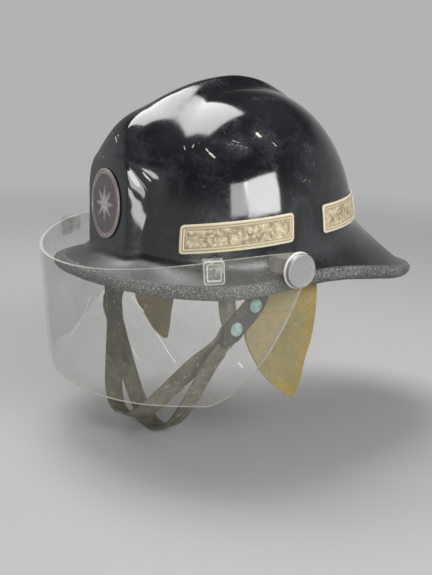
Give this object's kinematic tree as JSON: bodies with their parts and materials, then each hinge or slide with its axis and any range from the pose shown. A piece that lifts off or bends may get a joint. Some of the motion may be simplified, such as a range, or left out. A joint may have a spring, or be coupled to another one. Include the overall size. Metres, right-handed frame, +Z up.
{
  "type": "fire helmet",
  "caption": "Black crested fire helmet with short peak, duck tail, clear tilting visor on side knobs, foam edge trim, leather ear flaps, chin straps and inner harness.",
  "frame": {"origin": "centre of the dome's plan at the height of the rim plane, where the wearer's head enters", "axes": "-Y is the helmet's front, +X the wearer's left, +Z up through the crown"},
  "size_m": [0.2838, 0.3668, 0.3133],
  "materials": {
    "shell_gloss": "glossy black, chipped and scratched",
    "foam_rubber": "matt, speckled foam",
    "visor_clear": "clear sheet, slightly smoky and scratched",
    "clip_clear": "clear moulded",
    "cream_plastic": "aged, matt",
    "steel": "dull",
    "dark_plastic": "matt",
    "light_alloy": "satin",
    "pewter": "dull, tarnished",
    "marker_cream": "reflective plastic, stained",
    "liner_foam": "foam",
    "brown_leather": "worn",
    "tape_web": "woven tape",
    "aged_brass": "dull",
    "tan_leather": "aged yellow tan",
    "dark_leather": "worn",
    "strap_leather": "worn grey olive",
    "stud_green": "green with verdigris"
  },
  "bodies": {
    "helmet": {"shell": "shell_gloss", "edge_trim": "foam_rubber", "visor_spacer_left": "cream_plastic", "visor_spacer_right": "cream_plastic", "pivot_screw_left": "steel", "pivot_screw_right": "steel", "pivot_pad_left": "dark_plastic", "pivot_pad_right": "dark_plastic", "knob_washer_left": "cream_plastic", "knob_washer_right": "cream_plastic", "badge": "pewter", "badge_retainers": "steel", "marker_side_left": "marker_cream", "marker_side_right": "marker_cream", "marker_rear_left": "marker_cream", "marker_rear_right": "marker_cream", "impact_liner": "liner_foam", "headband": "brown_leather", "harness_ring": "dark_plastic", "crown_tape_fore_aft": "tape_web", "crown_tape_lateral": "tape_web", "crown_tape_left_front": "tape_web", "crown_tape_right_front": "tape_web", "harness_rivets": "aged_brass", "harness_anchors": "dark_plastic", "nape_strap": "brown_leather", "nape_buckle": "aged_brass", "flap_hanger_left": "dark_plastic", "flap_hanger_right": "dark_plastic", "flap_hinge_left": "tan_leather", "flap_hinge_right": "tan_leather", "flap_rivets": "aged_brass", "branch_anchor_left": "dark_plastic", "branch_anchor_right": "dark_plastic", "stud_tab_left": "dark_leather", "stud_tab_right": "dark_leather", "strap_branch_left": "strap_leather", "strap_branch_right": "strap_leather", "press_studs_left": "stud_green", "press_studs_right": "stud_green", "branch_rivets": "aged_brass"},
    "visor": {"visor": "visor_clear", "visor_clip_left": "clip_clear", "visor_clip_right": "clip_clear"},
    "knob_left": {"knob_left": "light_alloy"},
    "knob_right": {"knob_right": "light_alloy"},
    "ear_flap_left": {"ear_flap_left": "tan_leather"},
    "ear_flap_right": {"ear_flap_right": "tan_leather"},
    "chin_strap": {"chin_strap": "strap_leather", "under_chin_strap": "strap_leather"}
  },
  "joints": [
    {"name": "visor_tilt", "type": "hinge", "parent": "helmet", "child": "visor", "pos_m": [0, -0.0225, 0.02], "axis": [-1, 0, 0], "range_deg": [0, 65]},
    {"name": "knob_left_turn", "type": "hinge", "parent": "helmet", "child": "knob_left", "pos_m": [0.14, -0.0225, 0.02], "axis": [1, 0, 0], "range_deg": [0, 360]},
    {"name": "knob_right_turn", "type": "hinge", "parent": "helmet", "child": "knob_right", "pos_m": [-0.14, -0.0225, 0.02], "axis": [-1, 0, 0], "range_deg": [0, 360]},
    {"name": "ear_flap_left_swing", "type": "hinge", "parent": "helmet", "child": "ear_flap_left", "pos_m": [0.1005, 0.002, 0.018], "axis": [0, 1, 0], "range_deg": [0, 25]},
    {"name": "ear_flap_right_swing", "type": "hinge", "parent": "helmet", "child": "ear_flap_right", "pos_m": [-0.1005, 0.002, 0.018], "axis": [0, -1, 0], "range_deg": [0, 25]},
    {"name": "chin_strap_swing", "type": "hinge", "parent": "helmet", "child": "chin_strap", "pos_m": [0, -0.0528, -0.0322], "axis": [-1, 0, 0], "range_deg": [-15, 15]}
  ]
}
